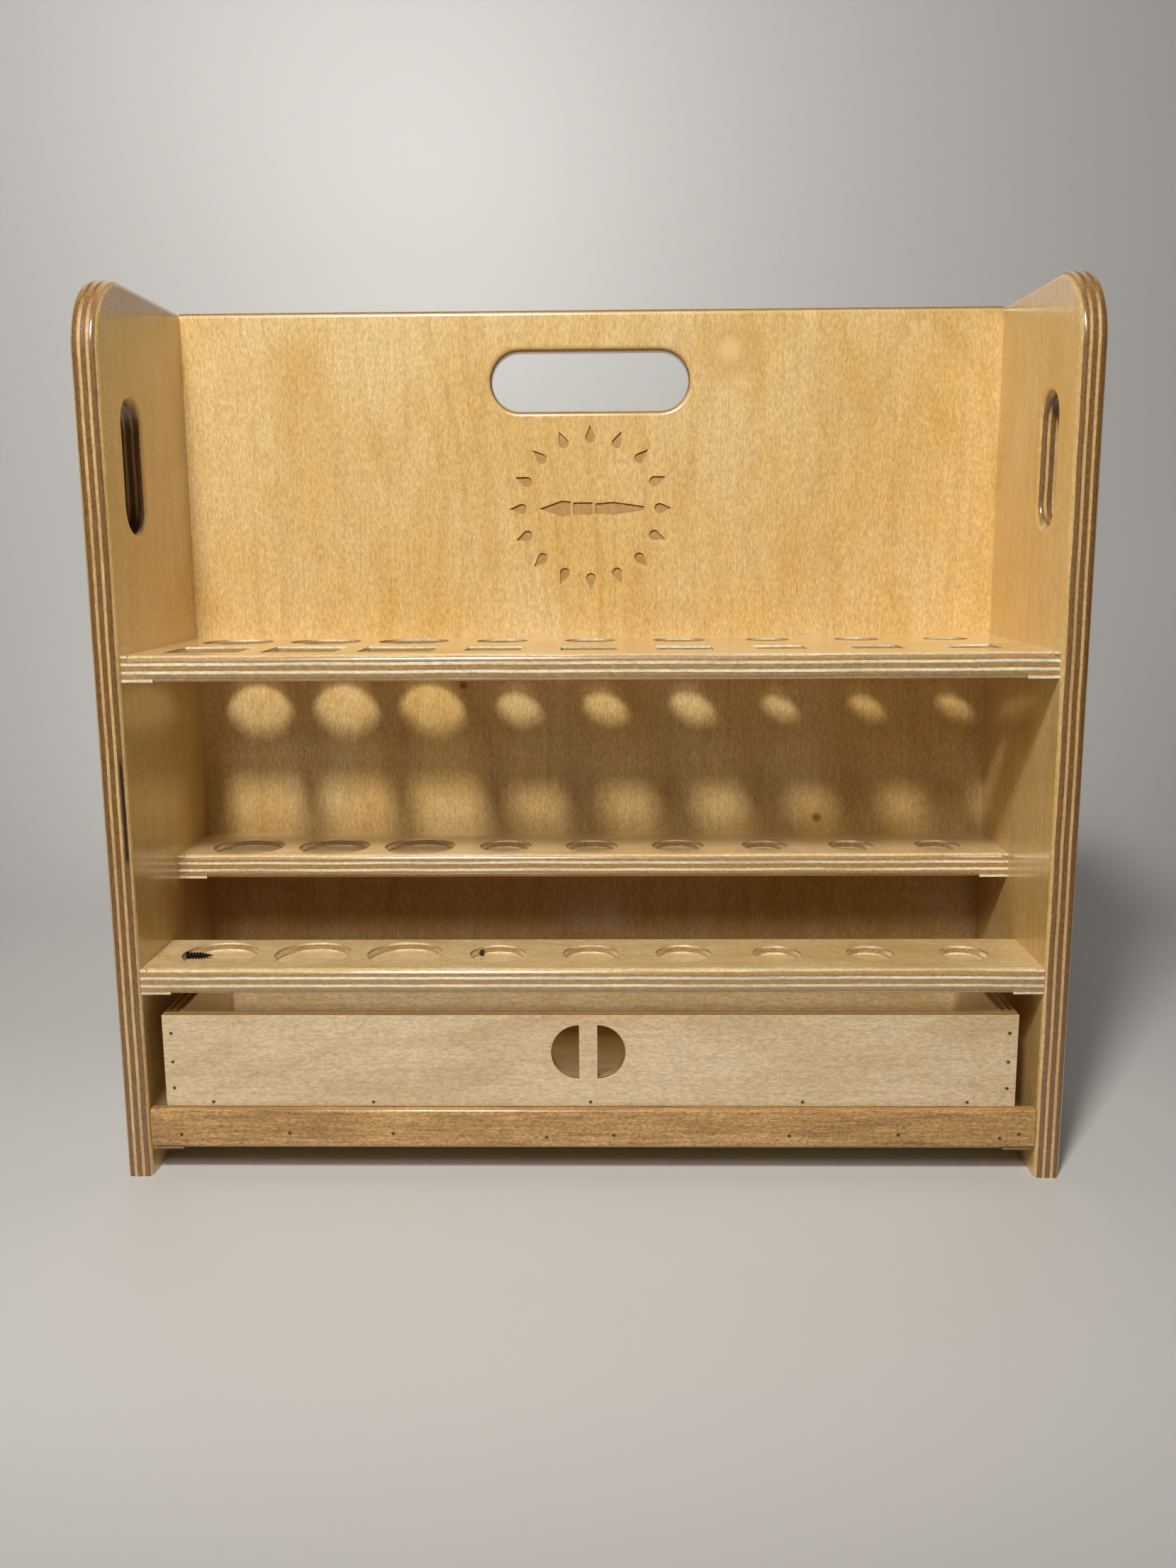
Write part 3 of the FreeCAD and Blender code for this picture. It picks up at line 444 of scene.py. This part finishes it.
MATERIALS = {
    "left_side_panel": plywood("Ply_left_side", "left_side_panel", X, BOARD_PLIES, Z, 1, extra=lean_void),
    "right_side_panel": plywood("Ply_right_side", "right_side_panel", X, BOARD_PLIES, Z, 2),
    "back_panel": plywood("Ply_back", "back_panel", Y, BOARD_PLIES, Z, 3, knots=BACK_KNOTS,
                          extra=darkened_cuts),
    # The shelves take the paler trim, whose pale edges are a painted highlight.
    "top_shelf": plywood("Ply_top_shelf", "top_shelf", Z, BOARD_PLIES, X, 4, CREAM, trim=SHELF_TRIM_PAINTED_HIGHLIGHT),
    "middle_shelf": plywood("Ply_middle_shelf", "middle_shelf", Z, BOARD_PLIES, X, 5, CREAM, trim=SHELF_TRIM_PAINTED_HIGHLIGHT,
                            extra=turned_floors(21.5, 138.8)),
    "lower_shelf": plywood("Ply_lower_shelf", "lower_shelf", Z, BOARD_PLIES, X, 6, CREAM, trim=SHELF_TRIM_PAINTED_HIGHLIGHT,
                           extra=turned_floors(-39.0, 99.2, (-53.3, -28.9, 100.3))),
    "bottom_panel": plywood("Ply_bottom", "bottom_panel", Z, BOARD_PLIES, X, 7),
    "drawer_front": plywood("Ply_drawer_front", "drawer_front", Y, FRONT_PLIES, X, 8, STRAW, figure=0.8,
                            nails=heads("drawer_front_nails", DRAWER_FACE, Y)),
    "drawer_left_side": plywood("Ply_drawer_left", "drawer_left_side", X, WALL_PLIES, Y, 9, CREAM),
    "drawer_right_side": plywood("Ply_drawer_right", "drawer_right_side", X, WALL_PLIES, Y, 10, CREAM),
    "drawer_back": plywood("Ply_drawer_back", "drawer_back", Y, WALL_PLIES, X, 11, CREAM),
    "drawer_floor": plywood("Ply_drawer_floor", "drawer_floor", Z, FLOOR_PLIES, X, 12, CREAM),
    "front_lath": hardwood("Wood_lath", X, 13, heads("lath_nails", LATH_FACE, Y)),
    "left_runner": hardwood("Wood_left_runner", Y, 14),
    "right_runner": hardwood("Wood_right_runner", Y, 15),
}
SCREW_STEEL = dark_metal("Screw_black", (0.012, 0.012, 0.013), 0.85, 0.28, 1.2)
NAIL_STEEL = dark_metal("Nail_steel", (0.09, 0.08, 0.07), 0.9, 0.42, 2.0)
for nails in ("lath_nails", "drawer_front_nails", "drawer_back_nails", "drawer_side_nails"):
    MATERIALS[nails] = NAIL_STEEL
SCREW_NODES = ("top_shelf_screws", "middle_shelf_screws", "lower_shelf_screws", "bottom_panel_screws",
               "back_panel_screws")

for node, material in MATERIALS.items():
    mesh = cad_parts[node].data
    mesh.materials.clear()
    mesh.materials.append(material)


# ---------------------------------------------------------------- screws
def new_piece(name, mesh, material, body):
    """Turns a finished bmesh into an object that rides on a body."""
    data = bpy.data.meshes.new(name)
    mesh.to_mesh(data)
    mesh.free()
    data.materials.append(material)
    piece = bpy.data.objects.new(name, data)
    bpy.context.scene.collection.objects.link(piece)
    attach(piece, body)
    return piece


# HEAD, SHANK and CORE are radii. NECK is how far in the countersunk part ends.
HEAD, NECK, SHANK, CORE = 4.0, 3.2, 1.75, 1.15
SCREW_LENGTH, TIP, THREAD_START, THREAD_PITCH = 38.0, 6.0, 24.0, 1.45
RIM, UNDER_RIM, POINT_RADIUS = 0.16, 0.42, 0.02
WING_HALF_WIDTH, WING_REACH, WING_WALL, WING_END = 0.62, 2.15, 0.22, 0.35
WING_DEPTH, MIDDLE_DEPTH = 0.9, 0.75
SEGMENTS, HEAD_RINGS, THREAD_RINGS = 36, 16, 90


def cross_recess(across, up):
    """How deep the driver's cross is sunk at a point on the head."""
    wing = min(abs(across), abs(up))
    reach = max(abs(across), abs(up))
    if reach > WING_REACH or wing > WING_HALF_WIDTH:
        return 0.0
    wall = min(1.0, (WING_HALF_WIDTH - wing) / WING_WALL) * min(1.0, (WING_REACH - reach) / WING_END)
    return wall * (WING_DEPTH + MIDDLE_DEPTH * max(0.0, 1 - reach / WING_REACH))


def screw_rings(threaded):
    """The screw's outline from the middle of its head to its point, as (radius, distance in) rings.
    A ring without a radius lies on the thread or on the point."""
    under_head = HEAD * 0.93
    rings = [(radius, 0.0) for radius in np.linspace(0.12, HEAD - 0.25, HEAD_RINGS)]
    rings += [(HEAD - 0.08, 0.03), (HEAD, RIM), (under_head, UNDER_RIM)]
    for share in (0.2, 0.4, 0.6, 0.8, 1.0):
        radius = SHANK + (under_head - SHANK) * (1 - share) ** 1.6
        rings.append((radius, UNDER_RIM + (NECK - UNDER_RIM) * share))
    start = THREAD_START if threaded else SCREW_LENGTH - TIP
    rings.append((SHANK, start))
    count = THREAD_RINGS if threaded else 2
    for distance in np.linspace(start, SCREW_LENGTH, count + 1)[1:]:
        rings.append((None, distance))
    return rings


def thread_radius(turn, distance):
    """Core plus a sharp ridge that winds along the screw, both drawn in towards the point."""
    left = max(0.0, min(1.0, (SCREW_LENGTH - distance) / TIP))
    phase = (distance / THREAD_PITCH - turn) % 1.0
    ridge = max(0.0, 1 - abs(phase - 0.5) / 0.32) ** 1.2
    return (CORE + (SHANK - CORE) * ridge) * left ** 0.8 + POINT_RADIUS


def add_screw(mesh, seat, heading, turn_by, threaded):
    """Adds one screw with its head flush at seat. heading is the way that it was driven, and turn_by is how
    far its cross is turned."""
    along = Vector(heading)
    side = Vector((0, 1, 0))
    up = along.cross(side)
    loops = []
    for radius, distance in screw_rings(threaded):
        loop = []
        for step in range(SEGMENTS):
            angle = 2 * math.pi * step / SEGMENTS
            if radius is None and threaded:
                out = thread_radius(step / SEGMENTS, distance)
            elif radius is None:
                out = SHANK * (SCREW_LENGTH - distance) / TIP + POINT_RADIUS
            else:
                out = radius
            sunk = distance
            if radius is not None and distance == 0.0:
                spin = angle + turn_by
                sunk = cross_recess(out * math.cos(spin), out * math.sin(spin))
            point = seat + along * sunk + side * (out * math.cos(angle)) + up * (out * math.sin(angle))
            loop.append(mesh.verts.new(point * MM))
        loops.append(loop)
    for first, second in zip(loops, loops[1:]):
        for step in range(SEGMENTS):
            after = (step + 1) % SEGMENTS
            mesh.faces.new((first[step], second[step], second[after], first[after]))
    mesh.faces.new(loops[0])
    mesh.faces.new(list(reversed(loops[-1])))


def screw_seats(node):
    """The seats and headings of a set of screws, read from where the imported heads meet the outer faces."""
    low, high = box_mm(node)
    left = [(Vector(spot), (1, 0, 0)) for spot in heads(node, low[0], X, 2 * HEAD)]
    right = [(Vector(spot), (-1, 0, 0)) for spot in heads(node, high[0], X, 2 * HEAD)]
    return left + right


def is_high(seat):
    """The one screw that was driven high, so that its point shows in the first pocket."""
    return seat.x < 0 and 98 < seat.z < 105


random = np.random.default_rng(7)
for node in SCREW_NODES:
    mesh = bmesh.new()
    for seat, heading in screw_seats(node):
        turn_by = random.uniform(0, math.pi / 2)
        add_screw(mesh, seat, heading, turn_by, node == "lower_shelf_screws" and is_high(seat))
    for face in mesh.faces:
        face.smooth = True
    bmesh.ops.recalc_face_normals(mesh, faces=mesh.faces)
    piece = new_piece("Detailed_" + node, mesh, SCREW_STEEL, "carcass")
    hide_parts(node)


# ---------------------------------------------------------------- studio
# Metres. The wall stands further back than the cameras that look at the back of the rack.
SWEEP_START, SWEEP_RADIUS, SWEEP_HEIGHT = 0.40, 0.65, 3.2
FLOOR_FRONT, SWEEP_COLUMNS = -1.5, (-1.5, -0.75, 0.0, 0.75, 1.5)
# Millimetres. Painted light on the paper: a painted pool of light palest round a spot behind the rack, and
# painted shade darker in front of it.
PAINTED_LIGHT_SPOT = (-80.0, 160.0, 120.0)
PAPER_TINT = (1.0, 0.985, 0.955)


def studio_surface():
    """A pale sweep: floor in front, curving up into a wall behind."""
    profile = [(y, 0.0) for y in np.linspace(FLOOR_FRONT, SWEEP_START, 9)]
    for share in np.linspace(0, 1, 25)[1:]:
        angle = share * math.pi / 2
        profile.append((SWEEP_START + SWEEP_RADIUS * math.sin(angle), SWEEP_RADIUS * (1 - math.cos(angle))))
    profile.append((SWEEP_START + SWEEP_RADIUS, SWEEP_HEIGHT))
    mesh = bmesh.new()
    rows = [[mesh.verts.new((x, y, z)) for x in SWEEP_COLUMNS] for y, z in profile]
    for first, second in zip(rows, rows[1:]):
        for index in range(len(first) - 1):
            face = mesh.faces.new((first[index], first[index + 1], second[index + 1], second[index]))
            face.smooth = True
    data = bpy.data.meshes.new("Studio_sweep")
    mesh.to_mesh(data)
    mesh.free()
    graph = Graph("Studio_paper")
    tooth = graph.noise(graph.place, 0.9, 3, 0.6)
    away = graph.vector("LENGTH", graph.vector("SUBTRACT", graph.place, PAINTED_LIGHT_SPOT))
    # Painted light: the paper's tone is a painted pool of light round that spot that fades away from it,
    # painted shade in front of the rack, and painted light up the wall.
    paper_and_painted_light = graph.step(away, 300.0, 1000.0, 0.64, 0.28)
    paper_and_painted_light = graph.math("MULTIPLY", paper_and_painted_light, graph.step(graph.axis(Y), -550.0, -200.0, 0.45, 1.0))
    paper_and_painted_light = graph.total((paper_and_painted_light, 1.0), (graph.step(graph.axis(Y), 300.0, 950.0), 0.42))
    paper = graph.vector("SCALE", PAPER_TINT, scale=paper_and_painted_light)
    graph.set(Base_Color=paper, Roughness=0.48, Normal=graph.bump(tooth, 0.03))
    data.materials.append(graph.material)
    sweep = bpy.data.objects.new("Studio_sweep", data)
    bpy.context.scene.collection.objects.link(sweep)


def add_light(name, spot, target, size, watts, colour):
    """A round soft lamp at a spot in metres, aimed at a target."""
    lamp = bpy.data.lights.new(name, "AREA")
    lamp.shape = "DISK"
    lamp.size = size
    lamp.energy = watts
    lamp.color = colour
    light = bpy.data.objects.new(name, lamp)
    light.location = spot
    light.rotation_euler = (Vector(target) - Vector(spot)).to_track_quat("-Z", "Y").to_euler()
    bpy.context.scene.collection.objects.link(light)


def studio_air():
    """Dim warm light from all round, with a pale room seen past the floor's edge in its place."""
    world = bpy.data.worlds.new("Studio_air")
    world.use_nodes = True
    air = world.node_tree
    glow = air.nodes["Background"]
    glow.inputs["Color"].default_value = AIR_COLOUR
    glow.inputs["Strength"].default_value = AIR_STRENGTH
    room = air.nodes.new("ShaderNodeBackground")
    room.inputs["Color"].default_value = ROOM_COLOUR
    seen = air.nodes.new("ShaderNodeLightPath")
    either = air.nodes.new("ShaderNodeMixShader")
    air.links.new(seen.outputs["Is Camera Ray"], either.inputs[0])
    air.links.new(glow.outputs[0], either.inputs[1])
    air.links.new(room.outputs[0], either.inputs[2])
    air.links.new(either.outputs[0], air.nodes["World Output"].inputs["Surface"])
    bpy.context.scene.world = world


AIR_COLOUR, AIR_STRENGTH, ROOM_COLOUR = (1.0, 0.88, 0.70, 1), 0.007, (0.50, 0.49, 0.475, 1)
LAMP_WHITE, BACKDROP_WHITE, FILL_WHITE = (1.0, 0.975, 0.94), (1.0, 0.985, 0.965), (1.0, 0.93, 0.84)
KEY_TARGET = (0.03, 0.0, 0.20)
# name, spot, target, size in metres, watts, colour. Backdrop is aimed away from the rack, at the wall only.
LAMPS = (
    ("Key", (-0.207, -0.856, 1.130), KEY_TARGET, 0.17, 14.2, LAMP_WHITE),
    ("Low_key", (-0.25, -1.35, 1.24), KEY_TARGET, 0.40, 6.5, LAMP_WHITE),
    ("Backdrop", (-0.34, 0.16, 0.96), (-0.34, 1.16, 0.96), 0.35, 3.9, BACKDROP_WHITE),
    ("Fill", (0.3, -2.0, 1.7), (0.0, 0.0, 0.2), 1.8, 0.12, FILL_WHITE),
)
studio_surface()
for lamp_settings in LAMPS:
    add_light(*lamp_settings)
studio_air()
bpy.context.scene.view_settings.view_transform = "Standard"

# ---------------------------------------------------------------- camera
PITCH_DOWN, YAW_LEFT, ROLL = (math.radians(angle) for angle in (10.22, 1.02, 0.37))
CAMERA_SPOT, LENS_MM = (0.0105, -0.6660, 0.2996), 30.89
ahead = Vector((-math.sin(YAW_LEFT) * math.cos(PITCH_DOWN), math.cos(YAW_LEFT) * math.cos(PITCH_DOWN),
                -math.sin(PITCH_DOWN)))
level_right = Vector((math.cos(YAW_LEFT), math.sin(YAW_LEFT), 0))
level_up = level_right.cross(ahead)
right = level_right * math.cos(ROLL) - level_up * math.sin(ROLL)
up = level_right * math.sin(ROLL) + level_up * math.cos(ROLL)
camera_data = bpy.data.cameras.new("Camera")
camera_data.lens = LENS_MM
camera_data.clip_start = 0.01
camera = bpy.data.objects.new("Camera", camera_data)
camera.matrix_world = Matrix((
    (right.x, up.x, -ahead.x, CAMERA_SPOT[0]),
    (right.y, up.y, -ahead.y, CAMERA_SPOT[1]),
    (right.z, up.z, -ahead.z, CAMERA_SPOT[2]),
    (0, 0, 0, 1)))
bpy.context.scene.collection.objects.link(camera)
bpy.context.scene.camera = camera
